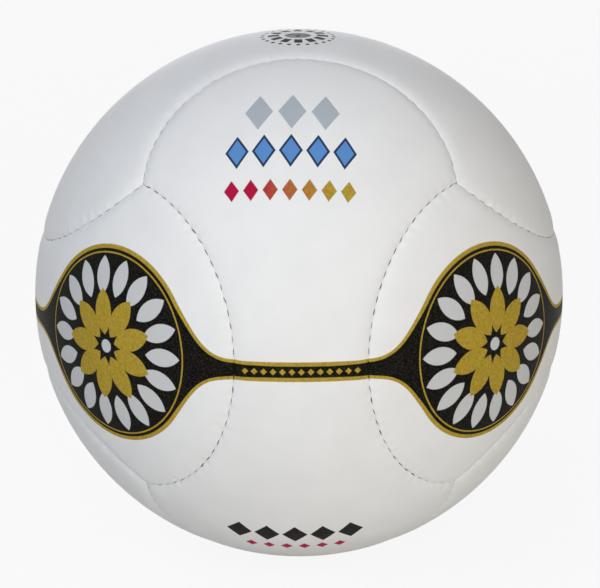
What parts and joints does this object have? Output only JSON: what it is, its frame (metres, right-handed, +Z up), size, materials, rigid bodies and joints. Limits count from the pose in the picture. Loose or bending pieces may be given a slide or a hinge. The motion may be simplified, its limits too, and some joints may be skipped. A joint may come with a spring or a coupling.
{
  "type": "fistball",
  "caption": "Hand-stitched fistball: alike waisted cover panels with turned-in edges, fabric linings, a bladder, and a valve with a pull-out insert for a pump needle.",
  "frame": {"origin": "the ball's centre", "axes": "+Z up along the valve, -Y towards the front panel, +X to the right seen from the front"},
  "size_m": [0.212, 0.212, 0.2119],
  "materials": {
    "cover": "smooth satin",
    "lining": "woven",
    "thread": "waxed",
    "bladder": "matte",
    "valve": "matte",
    "insert": "satin"
  },
  "bodies": {
    "ball": {"panel_front": "cover", "panel_back": "cover", "panel_bottom": "cover", "panel_top": "cover", "panel_left": "cover", "panel_right": "cover", "lining_front": "lining", "lining_back": "lining", "lining_bottom": "lining", "lining_top": "lining", "lining_left": "lining", "lining_right": "lining", "thread_front_left": "thread", "thread_front_right": "thread", "thread_back_right": "thread", "thread_back_left": "thread", "thread_bottom_front": "thread", "thread_bottom_back": "thread", "thread_top_back": "thread", "thread_top_front": "thread", "thread_left_bottom": "thread", "thread_left_top": "thread", "thread_right_top": "thread", "thread_right_bottom": "thread", "bladder": "bladder", "valve_housing": "valve"},
    "insert": {"valve_insert": "insert"}
  },
  "joints": [
    {"name": "insert_pull", "type": "slide", "parent": "ball", "child": "insert", "axis": [0, 0, 1], "range_m": [0, 0.022]}
  ]
}
